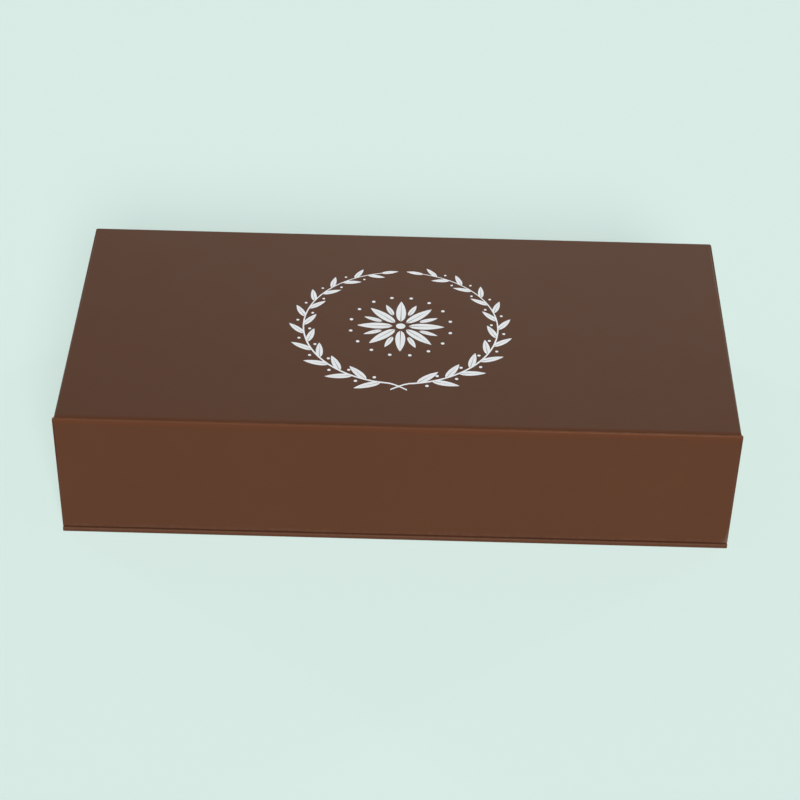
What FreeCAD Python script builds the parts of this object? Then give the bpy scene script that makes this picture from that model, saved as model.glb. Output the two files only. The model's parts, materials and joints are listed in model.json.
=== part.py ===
"""A chocolate box: a book-style case of wrapped boards that folds round a tray with card dividers.

Millimetres, +X to the right, +Y to the back, +Z up, with the origin under the middle of the closed box.
"""
import FreeCAD
import Part

import math
import os

# The closed case
case_width = 320.0
case_depth = 166.0
case_height = 67.0
base_ledge = 1.0

# Board and paper of the case
board = 2.0
paper = 0.2
turn_in = 3.0
edge_round = 0.8

# Paper folds: a web from one board, then a bead, then a skirt down to the next board
fold_web = 2.6
fold_skirt = 1.6
fold_ear = 0.8

# The front fold: a slim bead, the ridge, with a groove behind it, whose slope is in degrees, and a skirt
# that leans out to the flap
ridge_radius = 0.7
ridge_rise = 0.1
ridge_setback = 0.4
ridge_skirt = 2.1
groove_slope = 15.0
shoulder_radius = 1.0
crease_radius = 0.25

# Tray inside the case
tray_inset = 3.0
tray_board = 2.0
tray_round_share = 1.75
rim_gap = 0.4
flap_gap = 0.4
foot_gap = 0.6

# Paper stays round the tray's corners
stay_reach = 12.0
stay_paper = 0.15
stay_margin = 4.0

# Closing magnets, two in the flap and two facing them in the tray
magnet_diameter = 12.0
magnet_thickness = 1.5
magnet_fit = 0.1
magnet_spread = 180.0
magnet_height = 22.0

# Card dividers
divider_card = 1.0
divider_headroom = 9.6
divider_columns = 6
divider_rows = 3
divider_end_fit = 0.5
divider_slot_fit = 0.1

# One overrun serves all cuts
overrun = 1.0

# Thicknesses that follow
panel = paper + board + paper
fold_ply = paper + paper
bead_radius = panel / 2
tray_round = paper * tray_round_share

# Faces and fold axes of the closed case
half_width = case_width / 2
back_face = (case_depth + base_ledge) / 2
base_front = -back_face
flap_face = back_face - case_depth
spine_axis_y = back_face - bead_radius
spine_axis_z = case_height - bead_radius
flap_axis_y = flap_face + ridge_setback + ridge_radius
flap_axis_z = case_height + ridge_rise - ridge_radius
base_axis_z = bead_radius

# Outside of the wrapped tray
tray_half_width = half_width - tray_inset
tray_front = flap_face + panel + flap_gap
tray_back = back_face - panel
tray_bottom = panel
tray_rim = case_height - panel - rim_gap

# Inside of the wrapped tray
tray_skin = paper + tray_board + paper
inner_half_width = tray_half_width - tray_skin
inner_front = tray_front + tray_skin
inner_back = tray_back - tray_skin
inner_floor = tray_bottom + tray_board + paper
divider_top = tray_rim - divider_headroom

# Directions
right = FreeCAD.Vector(1, 0, 0)
backward = FreeCAD.Vector(0, 1, 0)
upward = FreeCAD.Vector(0, 0, 1)


def box(low, high):
    """Returns the box between two opposite corners."""
    size = [end - start for start, end in zip(low, high)]
    return Part.makeBox(*size, FreeCAD.Vector(*low))


def placed(shape, origin, first, second):
    """Returns a shape moved to an origin, with its own X and Y turned along two square directions."""
    turned = shape.copy()
    rotation = FreeCAD.Rotation(first, second, first.cross(second), "XYZ")
    turned.Placement = FreeCAD.Placement(FreeCAD.Vector(*origin), rotation) * shape.Placement
    return turned


def rounded(block, radius, is_sharp):
    """Returns a block with its edges rounded, apart from the sharp ones."""
    edges = [edge for edge in block.Edges if not is_sharp(edge)]
    return block.makeFillet(radius, edges)


def wrapped_panel(length, start_folds, end_folds):
    """Returns the board, cover paper and lining of one panel of the case.

    The panel lies flat with its outer face down and runs along Y from zero. Its free edges are wrapped
    and turned in. At an end that folds, the lining turns up the board's end instead.
    """
    fold_ends = [end for end, folds in ((0, start_folds), (length, end_folds)) if folds]

    def is_fold_edge(edge):
        return any(all(abs(vertex.Y - end) < edge_round for vertex in edge.Vertexes) for end in fold_ends)

    core = box((-half_width + paper, paper, paper), (half_width - paper, length - paper, paper + board))
    core = rounded(core, edge_round - paper, is_fold_edge)
    block = rounded(box((-half_width, 0, 0), (half_width, length, panel)), edge_round, is_fold_edge)
    reach = half_width - turn_in
    start = 0 if start_folds else turn_in
    stop = length if end_folds else length - turn_in
    lining = box((-reach, start, paper + board), (reach, stop, panel))
    wrap = block.cut(core).cut(lining)
    for end in fold_ends:
        inward = end + paper if end == 0 else end - paper
        low_end = min(end, inward)
        high_end = max(end, inward)
        wrap = wrap.cut(box((-reach, low_end, paper), (reach, high_end, panel)))
        lining = lining.fuse(box((-reach, low_end, fold_ply), (reach, high_end, panel)))
    return core, wrap, lining.removeSplitter()


def bearing(start, end):
    """Returns the angle of the line from one point to another."""
    return math.atan2(end.y - start.y, end.x - start.x)


def arc(centre, radius, start, end):
    """Returns the arc between two angles, with its three points."""
    angles = (start, (start + end) / 2, end)
    points = [centre + FreeCAD.Vector(radius * math.cos(a), radius * math.sin(a), 0) for a in angles]
    return Part.Arc(*points).toShape()


def line(start, end):
    """Returns the straight edge between two points."""
    return Part.LineSegment(start, end).toShape()


def plain_fold():
    """Returns a paper fold whose web runs level from its board onto the bead."""
    under = bead_radius - fold_ply
    outer_web = [line(FreeCAD.Vector(-fold_web, bead_radius, 0), FreeCAD.Vector(0, bead_radius, 0))]
    inner_web = [line(FreeCAD.Vector(0, under, 0), FreeCAD.Vector(-fold_web, under, 0))]
    hem = FreeCAD.Vector(bead_radius, -fold_skirt, 0)
    return fold_strip(bead_radius, hem, math.pi / 2, outer_web, inner_web)


def grooved_fold():
    """Returns the front fold, whose web slopes into a groove behind a slim bead that stands proud.

    The web leaves the board's face on a shoulder, runs straight down the slope, and turns up in a crease
    that touches the bead.
    """
    slope = math.radians(groove_slope)
    down = FreeCAD.Vector(math.cos(slope), -math.sin(slope), 0)
    above = FreeCAD.Vector(math.sin(slope), math.cos(slope), 0)
    shoulder = FreeCAD.Vector(-fold_web, ridge_radius - ridge_rise - shoulder_radius, 0)
    slope_start = shoulder + above * shoulder_radius
    lowered = slope_start + above * crease_radius
    reach = ridge_radius + crease_radius
    ahead = -lowered.dot(down)
    slope_length = ahead - math.sqrt(ahead ** 2 - lowered.dot(lowered) + reach ** 2)
    crease = lowered + down * slope_length
    slope_end = slope_start + down * slope_length
    under = above * -fold_ply

    top = math.pi / 2
    slope_angle = top - slope
    bead_start = bearing(FreeCAD.Vector(0, 0, 0), crease)
    outer_web = [
        arc(shoulder, shoulder_radius, top, slope_angle),
        line(slope_start, slope_end),
        arc(crease, crease_radius, slope_angle + math.pi, bead_start + math.pi),
    ]
    inner_web = [
        arc(crease, crease_radius + fold_ply, bead_start + math.pi, slope_angle + math.pi),
        line(slope_end + under, slope_start + under),
        arc(shoulder, shoulder_radius - fold_ply, slope_angle, top),
    ]
    hem = FreeCAD.Vector(ridge_radius + ridge_setback, -ridge_skirt, 0)
    return fold_strip(ridge_radius, hem, bead_start, outer_web, inner_web)


def fold_strip(radius, hem, bead_start, outer_web, inner_web):
    """Returns a paper fold about its bead, drawn in XY and as long as the case is wide.

    The web comes from the board at -X and meets the bead, which is centred on zero, at an angle. From the
    bead the skirt runs straight down to its hem on the next board.
    """
    def on_circle(size, angle):
        return FreeCAD.Vector(size * math.cos(angle), size * math.sin(angle), 0)

    bead = FreeCAD.Vector(0, 0, 0)
    inner_radius = radius - fold_ply
    lean = math.acos(radius / hem.Length) + bearing(bead, hem)
    inner_hem = FreeCAD.Vector((inner_radius - hem.y * math.sin(lean)) / math.cos(lean), hem.y, 0)
    skirt = [
        arc(bead, radius, bead_start, lean),
        line(on_circle(radius, lean), hem),
        line(hem, inner_hem),
        line(inner_hem, on_circle(inner_radius, lean)),
        arc(bead, inner_radius, lean, bead_start),
    ]
    closing = line(inner_web[-1].Vertexes[-1].Point, outer_web[0].Vertexes[0].Point)
    section = Part.Face(Part.Wire(outer_web + skirt + inner_web + [closing]))
    length = case_width + fold_ear + fold_ear
    strip = section.extrude(FreeCAD.Vector(0, 0, length))
    strip.translate(FreeCAD.Vector(0, 0, -length / 2))
    return strip


def case_panels():
    """Returns the four wrapped panels of the case, each as board, cover paper and lining."""
    base_end = spine_axis_y - fold_web
    spine_start = base_axis_z + fold_skirt
    spine_end = spine_axis_z - fold_skirt
    lid_start = spine_axis_y - fold_web
    lid_end = flap_axis_y + fold_web
    flap_start = flap_axis_z - ridge_skirt
    flap_end = panel + foot_gap
    layout = {
        "base": (base_end - base_front, False, True, (0, base_front, 0), backward),
        "spine": (spine_end - spine_start, True, True, (0, back_face, spine_start), upward),
        "lid": (lid_start - lid_end, True, True, (0, lid_start, case_height), -backward),
        "flap": (flap_start - flap_end, True, False, (0, flap_face, flap_start), -upward),
    }
    parts = {}
    for name, (length, start_folds, end_folds, origin, run) in layout.items():
        layers = wrapped_panel(length, start_folds, end_folds)
        for layer, shape in zip(("board", "wrap", "liner"), layers):
            parts[f"{name}_{layer}"] = placed(shape, origin, right, run)
    return parts


def case_folds():
    """Returns the three paper folds of the case."""
    back_fold = plain_fold()
    return {
        "base_fold": placed(back_fold, (0, spine_axis_y, base_axis_z), backward, -upward),
        "lid_fold": placed(back_fold, (0, spine_axis_y, spine_axis_z), backward, upward),
        "flap_fold": placed(grooved_fold(), (0, flap_axis_y, flap_axis_z), -backward, upward),
    }


def corner_stays():
    """Returns the four strips of paper that hold the tray's corners, folded round its boards."""
    low = tray_bottom + stay_margin
    high = tray_rim - paper - stay_margin
    across = tray_half_width - paper
    stays = {}
    for end_name, face, inward in (("front", tray_front + paper, 1), ("back", tray_back - paper, -1)):
        for side_name, side in (("left", -1), ("right", 1)):
            corner = (side * across, face)
            reach = (corner[0] - side * stay_reach, corner[1] + inward * stay_reach)
            inside = (corner[0] - side * stay_paper, corner[1] + inward * stay_paper)
            past = (reach[0] - side * overrun, reach[1] + inward * overrun)
            block = upright(corner, reach, low, high)
            hollow = upright(inside, past, low - overrun, high + overrun)
            stays[f"corner_stay_{end_name}_{side_name}"] = block.cut(hollow)
    return stays


def upright(corner, opposite, low, high):
    """Returns the upright block between two corners of its plan."""
    (x_low, x_high), (y_low, y_high) = [sorted(pair) for pair in zip(corner, opposite)]
    return box((x_low, y_low, low), (x_high, y_high, high))


def tray_boards():
    """Returns the floor and walls of the tray, the end walls standing between front and back."""
    outer_x = tray_half_width - paper
    inner_x = outer_x - tray_board
    outer_front = tray_front + paper
    inside_front = outer_front + tray_board
    outer_back = tray_back - paper
    inside_back = outer_back - tray_board
    floor_top = tray_bottom + tray_board
    wall_top = tray_rim - paper
    walls = {
        "tray_front_wall": ((-outer_x, outer_front), (outer_x, inside_front)),
        "tray_back_wall": ((-outer_x, inside_back), (outer_x, outer_back)),
        "tray_left_wall": ((-outer_x, inside_front), (-inner_x, inside_back)),
        "tray_right_wall": ((inner_x, inside_front), (outer_x, inside_back)),
    }
    boards = {name: upright(*plan, tray_bottom, wall_top) for name, plan in walls.items()}
    boards["tray_floor"] = upright((-inner_x, inside_front), (inner_x, inside_back), tray_bottom, floor_top)
    return boards


def tray_papers(boards):
    """Returns the paper over the tray's walls, outside, rim and inside, and the sheet on its floor."""
    def is_foot_edge(edge):
        return all(abs(vertex.Z - tray_bottom) < tray_round for vertex in edge.Vertexes)

    corner = (-tray_half_width, tray_front)
    opposite = (tray_half_width, tray_back)
    inner_corner = (-inner_half_width, inner_front)
    inner_opposite = (inner_half_width, inner_back)
    floor_top = tray_bottom + tray_board
    block = rounded(upright(corner, opposite, tray_bottom, tray_rim), tray_round, is_foot_edge)
    wrap = block.cut(upright(inner_corner, inner_opposite, floor_top, tray_rim + overrun))
    for shape in boards.values():
        wrap = wrap.cut(shape)
    return {
        "tray_wrap": wrap,
        "tray_liner": upright(inner_corner, inner_opposite, floor_top, inner_floor),
    }


def fit_stays(boards, stays):
    """Sinks the corner stays flush into the tray's wall boards."""
    for name in boards:
        for stay in stays.values():
            boards[name] = boards[name].cut(stay)


def fit_magnets(parts):
    """Lets a pair of magnets into the flap board, and a pair facing them into the tray's front wall."""
    flap_seat = flap_face + paper + board
    tray_seat = tray_front + paper
    seats = (("flap", "flap_board", flap_seat, -backward), ("tray", "tray_front_wall", tray_seat, backward))
    for owner, board_name, seat, inward in seats:
        for side_name, side in (("left", -1), ("right", 1)):
            mouth = FreeCAD.Vector(side * magnet_spread / 2, seat, magnet_height)
            magnet_radius = magnet_diameter / 2
            pocket = Part.makeCylinder(magnet_radius + magnet_fit, magnet_thickness, mouth, inward)
            parts[board_name] = parts[board_name].cut(pocket)
            magnet = Part.makeCylinder(magnet_radius, magnet_thickness, mouth, inward)
            parts[f"{owner}_magnet_{side_name}"] = magnet


def lines_between(start, end, count):
    """Returns the places that divide a span into equal cells."""
    return [start + (end - start) * index / count for index in range(1, count)]


def card_dividers():
    """Returns the long and cross dividers, halved into each other and standing on the tray's floor."""
    middle = (inner_floor + divider_top) / 2
    above = divider_top + overrun
    below = inner_floor - overrun
    half_card = divider_card / 2
    half_slot = half_card + divider_slot_fit
    column_lines = lines_between(-inner_half_width, inner_half_width, divider_columns)
    row_lines = lines_between(inner_front, inner_back, divider_rows)
    end_x = inner_half_width - divider_end_fit
    front_end = inner_front + divider_end_fit
    back_end = inner_back - divider_end_fit
    dividers = {}
    for number, y in enumerate(row_lines, 1):
        strip = upright((-end_x, y - half_card), (end_x, y + half_card), inner_floor, divider_top)
        for x in column_lines:
            slot = upright((x - half_slot, y - overrun), (x + half_slot, y + overrun), middle, above)
            strip = strip.cut(slot)
        dividers[f"long_divider_{number}"] = strip
    for number, x in enumerate(column_lines, 1):
        strip = upright((x - half_card, front_end), (x + half_card, back_end), inner_floor, divider_top)
        for y in row_lines:
            slot = upright((x - overrun, y - half_slot), (x + overrun, y + half_slot), below, middle)
            strip = strip.cut(slot)
        dividers[f"cross_divider_{number}"] = strip
    return dividers


def build():
    """Returns every piece of the box by name."""
    boards = tray_boards()
    papers = tray_papers(boards)
    stays = corner_stays()
    fit_stays(boards, stays)
    parts = {**case_panels(), **case_folds(), **boards, **papers, **stays, **card_dividers()}
    fit_magnets(parts)
    return parts


def main():
    """Writes each piece to its own file."""
    os.makedirs("parts", exist_ok=True)
    for name, shape in build().items():
        shape.exportStep(f"parts/{name}.step")
        print(name, len(shape.Solids), shape.isValid(), round(shape.Volume, 1))


if __name__ == "__main__":
    main()
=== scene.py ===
"""Dresses a chocolate box: wrapped covers with paper folds, linings, tray, card dividers and lid print."""
import json
import math
from collections import namedtuple

import bmesh
import bpy
from bpy.props import FloatProperty, FloatVectorProperty, IntProperty, PointerProperty
from mathutils import Matrix, Vector
from mathutils.geometry import tessellate_polygon


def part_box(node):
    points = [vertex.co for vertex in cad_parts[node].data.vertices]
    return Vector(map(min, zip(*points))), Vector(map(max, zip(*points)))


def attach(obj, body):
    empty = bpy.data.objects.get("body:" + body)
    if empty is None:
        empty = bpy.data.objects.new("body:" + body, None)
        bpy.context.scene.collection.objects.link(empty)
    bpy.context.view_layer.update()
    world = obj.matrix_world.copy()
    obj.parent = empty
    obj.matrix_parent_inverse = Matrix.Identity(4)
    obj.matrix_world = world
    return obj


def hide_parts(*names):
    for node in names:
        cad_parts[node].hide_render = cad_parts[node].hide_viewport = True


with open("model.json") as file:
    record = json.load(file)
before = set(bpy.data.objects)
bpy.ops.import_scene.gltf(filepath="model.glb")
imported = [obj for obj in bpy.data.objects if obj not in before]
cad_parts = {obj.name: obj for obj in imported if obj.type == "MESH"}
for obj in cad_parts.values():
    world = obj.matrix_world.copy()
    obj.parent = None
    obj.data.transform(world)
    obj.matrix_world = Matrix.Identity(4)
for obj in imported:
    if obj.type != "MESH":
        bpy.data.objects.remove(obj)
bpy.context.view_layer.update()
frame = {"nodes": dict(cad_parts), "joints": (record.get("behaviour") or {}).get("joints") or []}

bl_info = {
    "name": "Chocolate box",
    "version": (1, 0, 0),
    "blender": (4, 5, 0),
    "location": "3D View > Sidebar > Chocolate box",
    "description": "Wraps, lines, prints and lights a book-style chocolate box",
    "category": "Object",
}

MM = 0.001
QUARTER = math.pi / 2

# Places that the frame gives
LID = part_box("lid_wrap")
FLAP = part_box("flap_wrap")
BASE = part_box("base_wrap")
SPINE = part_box("spine_wrap")
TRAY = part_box("tray_wrap")
FRONT_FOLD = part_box("flap_fold")
FLOOR_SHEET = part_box("tray_liner")
AXES = {joint["name"]: Vector(joint["pos_m"]) for joint in frame["joints"]}
LID_AXIS = AXES["lid_hinge"]
FLAP_AXIS = AXES["flap_hinge"]

# Thickness of a wrapped panel, radii of the plain beads and of the slim front bead, and how the folds lie
PANEL = LID[1].z - LID[0].z
BEAD = LID[1].z - LID_AXIS.z
RIDGE = FRONT_FOLD[1].z - FLAP_AXIS.z
RIDGE_RISE = FRONT_FOLD[1].z - LID[1].z
RIDGE_SKIRT = FLAP_AXIS.z - FLAP[1].z
RIDGE_FACE = FLAP_AXIS.y - FLAP[0].y
FOLD_WEB = LID_AXIS.y - LID[1].y
FOLD_SKIRT = LID_AXIS.z - SPINE[1].z
FOLD_REACH = FRONT_FOLD[1].x
HALF_WIDTH = LID[1].x


def length(name, description, default):
    """Returns a length property in metres."""
    return FloatProperty(
        name=name, description=description, default=default, min=0, unit="LENGTH", precision=5
    )


def angle(name, description, degrees):
    """Returns an angle property, with its default in degrees."""
    return FloatProperty(name=name, description=description, default=math.radians(degrees), subtype="ANGLE")


def amount(name, description, default):
    """Returns a plain number that isn't negative."""
    return FloatProperty(name=name, description=description, default=default, min=0)


def count(name, description, default):
    """Returns a count of at least three."""
    return IntProperty(name=name, description=description, default=default, min=3)


def colour(name, description, default):
    """Returns a colour property in linear light."""
    return FloatVectorProperty(
        name=name, description=description, default=default, size=3, min=0, max=1, subtype="COLOR"
    )


class CoverSizes(bpy.types.PropertyGroup):
    """Sizes of the wrapped panels and their paper folds."""

    edge_round: length("Edge rounding", "Radius of the paper at a wrapped edge", 0.45 * MM)
    hem_round: length("Hem rounding", "Radius at the ends of the folds' paper", 0.12 * MM)
    hem_ease: length("Hem ease", "Distance over which a hem turns into a wrapped edge", 3 * MM)
    ply: length("Fold paper", "Thickness of the two papers that make a fold", 0.4 * MM)
    ear_spread: length("Ear spread", "Distance from a bead over which its paper widens to the ears", 1.4 * MM)
    ear_point: length("Ear point", "Length over which a bead's ends run to a point", 0.6 * MM)
    groove_slope: angle("Groove slope", "Slope of the lid's paper into the front fold's groove", 15)
    shoulder: length("Groove shoulder", "Radius where the lid's paper turns down that slope", 1 * MM)
    crease: length("Crease radius", "Radius of the paper in the bottom of that groove", 0.25 * MM)
    ridge_lean: angle("Ridge lean", "Lean of the flap's paper where it leaves the front fold's bead", 18)
    # These reaches bound the painted warm bounce light in the front fold
    groove_bend: length("Groove bend", "Reach from the front fold's axis to the lid's flat paper", 1.9 * MM)
    flap_bend: length("Flap bend", "Reach from the front fold's axis to the flap's flat paper", 3.2 * MM)
    # Where the painted highlight lies on the front bead, and how strong it is from left to right
    crest_lean: angle("Crest lean", "Middle of the stretched paper on the front bead, from its top", 35)
    crest_width: angle("Crest width", "Angle from that middle to where the paper is plain", 60)
    crest_least: amount("Crest", "Stretch at the crest's left half", 0.4)
    crest_full: amount("Full crest", "Share of the right half after which the stretch is full", 0.6)
    foot_sag: length("Foot sag", "Distance that the paper stands below the flap's lower edge", 0.4 * MM)
    foot_wave: length("Foot wave", "Height of the waves along the flap's lower edge", 0.1 * MM)
    foot_height: length("Foot height", "Height over which the flap's paper sags and waves", 5 * MM)
    # Painted reflection of the pale floor along the flap's lower edge, carried as wear
    foot_reflection: length("Foot rub", "Height of the faint rubbing along the flap's lower edge", 3.5 * MM)
    foot_reflection_strength: amount("Foot wear", "Wear along that edge", 0.9)
    foot_fade: amount("Foot fade", "Share of that wear that is lost up to the rubbing's height", 0.3)
    # Paler paper at the flap's lower right corner
    corner_pale_length: length("Rub length", "Height of the rubbed edge at the flap's lower right corner", 9 * MM)
    corner_pale_share: amount("Rub share", "Width of that rubbing by its height", 0.3)
    corner_paling: amount("Rub wear", "Added wear in that corner", 2.6)
    spacing: length("Grid spacing", "Largest face on a flat panel", 6 * MM)


class LiningSizes(bpy.types.PropertyGroup):
    """Sizes of the lining sheets."""

    border: length("Border", "Cover paper that shows round a lining", 3 * MM)
    thickness: length("Thickness", "Height of a lining above the cover paper", 0.1 * MM)
    gap: length("Gap", "Gap between a lining that turns up a board's end and the fold's paper", 0.1 * MM)
    magnet_rise: length("Magnet mark", "Height of the mark that a magnet leaves", 0.12 * MM)
    spacing: length("Grid spacing", "Largest face on a lining", 2 * MM)


class TraySizes(bpy.types.PropertyGroup):
    """Sizes of the wrapped tray."""

    rim_round: length("Rim rounding", "Radius of the paper over the rim", 0.6 * MM)
    rim_wear: amount("Rim wear", "Wear of the paper over the rim", 0.7)
    corner_round: length("Corner rounding", "Radius of the outside corners", 0.7 * MM)
    inner_round: length("Inside rounding", "Radius of the inside corners", 0.3 * MM)
    magnet_rise: length("Magnet mark", "Height of the mark that a magnet leaves", 0.1 * MM)
    spacing: length("Grid spacing", "Largest face on a wall", 2.5 * MM)


class DividerSizes(bpy.types.PropertyGroup):
    """Sizes of the card dividers."""

    slot_play: length("Slot play", "Width of a slot beyond the card's thickness", 0.2 * MM)


class PrintSizes(bpy.types.PropertyGroup):
    """Sizes of the wreath and rosette printed on the lid."""

    radius: length("Wreath radius", "Radius of the two stems", 48 * MM)
    top_gap: angle("Top gap", "Angle from the top to the tip of a stem", 11)
    crossing: angle("Crossing", "Angle by which a stem's foot passes the bottom", 4.2972)
    flare: length("Foot flare", "Distance that a stem's foot leaves the ring", 5 * MM)
    stem: length("Stem width", "Width of a stem at its foot", 1.1 * MM)
    leaves: count("Leaves", "Leaves along a stem", 19)
    leaf_length: length("Leaf length", "Length of the longest leaf", 13.5 * MM)
    leaf_width: length("Leaf width", "Width of the longest leaf", 3.6 * MM)
    leaf_vein: length("Vein", "Bare line along a leaf's middle", 0.3 * MM)
    leaf_splay: angle("Leaf splay", "Angle between a leaf and its stem", 33)
    berry: length("Berry radius", "Radius of the berries on the stems", 0.9 * MM)
    petals: count("Petals", "Long petals of the rosette", 8)
    rosette: length("Rosette radius", "Radius of the ring of dots round the rosette", 25 * MM)
    ink: length("Ink", "Thickness of the ink, half of which sinks into the paper", 0.05 * MM)


class BoxColours(bpy.types.PropertyGroup):
    """Colours of papers, boards and metal."""

    cover: colour("Cover paper", "Chocolate brown cover paper", (0.0845, 0.0307, 0.0138))
    # Real worn fibres; this colour also paints the crest highlight and a reflection of the floor along the
    # flap's foot
    worn: colour("Worn paper", "Bare fibres where an edge is rubbed", (0.32, 0.26, 0.22))
    # Painted warm bounce light: tints the front fold where light bounces between its walls
    bend: colour("Fold tint", "Colour that tints the cover paper in the front fold", (1, 0.85, 0.64))
    # Colour of a painted highlight along the front fold's crest
    crest: colour("Stretched paper", "Cover paper along the front fold's crest", (0.123, 0.0405, 0.0128))
    lining: colour("Lining paper", "Cream lining paper", (0.64, 0.55, 0.4))
    greyboard: colour("Greyboard", "Grey pulp board", (0.24, 0.22, 0.19))
    stay: colour("Stay paper", "Kraft paper of the corner stays", (0.36, 0.22, 0.11))
    foil: colour("Gold card", "Gold faces of the dividers", (0.78, 0.57, 0.26))
    pulp: colour("Card pulp", "Cut edges of the dividers", (0.7, 0.62, 0.5))
    nickel: colour("Nickel", "Plating of the magnets", (0.56, 0.54, 0.5))
    ink: colour("Ink", "White ink on the lid", (0.845, 0.865, 0.885))
    floor: colour("Floor", "Pale floor", (0.8, 0.967, 0.915))
    backdrop: colour("Backdrop", "Pale backdrop", (0.701, 0.847, 0.799))
    card: colour("White card", "Card behind the box", (0.97, 1, 0.94))


class StageSettings(bpy.types.PropertyGroup):
    """Camera and light."""

    elevation: angle("Elevation", "Height of the camera above the horizon", 36.728)
    swing: angle("Swing", "Turn of the camera round the box", 0.264)
    roll: angle("Roll", "Tilt of the camera about its line of sight", 1.344)
    distance: length("Distance", "Distance from the camera to its aim", 1119.8 * MM)
    aim: FloatVectorProperty(
        name="Aim", description="Point that the camera looks at", subtype="TRANSLATION",
        default=(0.59 * MM, -14.91 * MM, 33 * MM),
    )
    lens: amount("Lens", "Focal length in millimetres", 101.3)
    view_limit: length("View limit", "Distance up to which the camera sees", 50)
    key: amount("Key light", "Strength of the front light", 3.99)
    key_height: angle("Key height", "Height of the front light above the horizon", 28.9)
    key_turn: angle("Key turn", "Turn of the front light to the right", 8)
    key_softness: angle("Key softness", "Width of the front light in the sky", 22)
    fill: amount("Fill light", "Strength of the two lights behind", 2.2)
    fill_height: angle("Fill height", "Height of the lights behind above the horizon", 2.5)
    fill_turn: angle("Fill turn", "Turn of the lights behind to each side", 128)
    fill_softness: angle("Fill softness", "Width of the lights behind in the sky", 6)
    ambient: amount("Ambient", "Light from all round", 0.16)
    card: amount("Card", "Power of the white card behind the box", 5.7)
    card_width: length("Card width", "Width of the card", 1.4)
    card_height: length("Card height", "Height of the card above the floor", 0.45)
    card_distance: length("Card distance", "Distance from the box's middle to the card", 0.7)
    card_shift: length("Card shift", "Distance from the middle to the right", 0.4)
    floor_size: length("Floor size", "Width of the floor", 12)
    floor_gap: length("Floor gap", "Gap between the box and the floor", 0.2 * MM)


# Node trees

def math_node(operation, reflected=False):
    """Returns a method that adds a Math node, with the two values in their order or the other way round."""
    def combine(term, other=0.0):
        first, second = (other, term) if reflected else (term, other)
        return term.graph.add("ShaderNodeMath", {0: first, 1: second}, operation=operation)["Value"]
    return combine


class Term:
    """A node's output that takes part in Python sums."""

    def __init__(self, graph, socket):
        self.graph = graph
        self.socket = socket

    __add__ = math_node("ADD")
    __radd__ = math_node("ADD", reflected=True)
    __sub__ = math_node("SUBTRACT")
    __rsub__ = math_node("SUBTRACT", reflected=True)
    __mul__ = math_node("MULTIPLY")
    __rmul__ = math_node("MULTIPLY", reflected=True)
    __truediv__ = math_node("DIVIDE")
    __rtruediv__ = math_node("DIVIDE", reflected=True)
    __pow__ = math_node("POWER")
    __mod__ = math_node("FLOORED_MODULO")
    __gt__ = math_node("GREATER_THAN")
    __lt__ = math_node("LESS_THAN")
    at_least = math_node("MAXIMUM")
    at_most = math_node("MINIMUM")
    floor = math_node("FLOOR")
    sine = math_node("SINE")
    cosine = math_node("COSINE")

    def limited(self):
        """Keeps the value between 0 and 1."""
        return self.at_least(0.0).at_most(1.0)


class Step:
    """One node, whose outputs are read by name."""

    def __init__(self, graph, node):
        self.graph = graph
        self.node = node

    def __getitem__(self, name):
        return Term(self.graph, find_socket(self.node.outputs, name))


def find_socket(sockets, name):
    """Returns the socket with this index, identifier or name."""
    for socket in sockets:
        if socket.identifier == name:
            return socket
    return sockets[name]


class Graph:
    """A node tree that is filled step by step."""

    def __init__(self, tree):
        self.tree = tree
        tree.nodes.clear()

    def add(self, kind, sockets=None, **settings):
        """Adds a node, makes its settings, then sets or links its sockets."""
        node = self.tree.nodes.new(kind)
        for name, value in settings.items():
            setattr(node, name, value)
        for name, value in (sockets or {}).items():
            socket = find_socket(node.inputs, name)
            for item in value if isinstance(value, list) else [value]:
                if isinstance(item, Term):
                    self.tree.links.new(item.socket, socket)
                else:
                    socket.default_value = item
        return Step(self, node)

    def grain(self, place, name):
        """Adds the noise of a named grain and returns its value."""
        fineness, detail = GRAINS[name]
        sockets = {"Vector": place, "Scale": fineness, "Detail": detail}
        return self.add("ShaderNodeTexNoise", sockets)["Fac"]

    def stretched(self, place, factor):
        """Returns places at which a grain runs long in height, by a factor under 1."""
        return self.add("ShaderNodeMapping", {"Vector": place, "Scale": (1, 1, factor)})["Vector"]

    def attribute(self, name):
        """Returns the value that a mesh holds under a name."""
        return self.add("ShaderNodeAttribute", attribute_name=name)["Fac"]

    def mix(self, share, first, second, blend="MIX"):
        """Mixes two colours."""
        sockets = {"Factor_Float": share, "A_Color": first, "B_Color": second}
        return self.add("ShaderNodeMix", sockets, data_type="RGBA", blend_type=blend)["Result_Color"]

    def tones(self, share, value, dark, light):
        """Mixes a darker and a lighter tone of a colour."""
        return self.mix(share, shaded(value, dark), shaded(value, light))

    def relief(self, height, strength, depth):
        """Returns the normal of a fine relief."""
        sockets = {"Strength": strength, "Distance": depth, "Height": height}
        return self.add("ShaderNodeBump", sockets)["Normal"]

    def paint(self, sockets):
        """Adds the shader of a surface."""
        return self.add("ShaderNodeBsdfPrincipled", sockets)["BSDF"]

    def mix_shaders(self, share, first, second):
        """Mixes two shaders."""
        return self.add("ShaderNodeMixShader", {0: share, 1: first, 2: second})["Shader"]

    def seen_rays(self):
        """Returns 1 for rays that show the backdrop, straight or reflected, and 0 for those that light."""
        path = self.add("ShaderNodeLightPath")
        return (path["Is Camera Ray"] + path["Is Glossy Ray"] + path["Is Transmission Ray"]).limited()

    def vector(self, x, y, z):
        """Joins three values to a vector."""
        return self.add("ShaderNodeCombineXYZ", {"X": x, "Y": y, "Z": z})["Vector"]


# Finishes, each made by a function that takes the graph, the place on the piece and the box's colours

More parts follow.
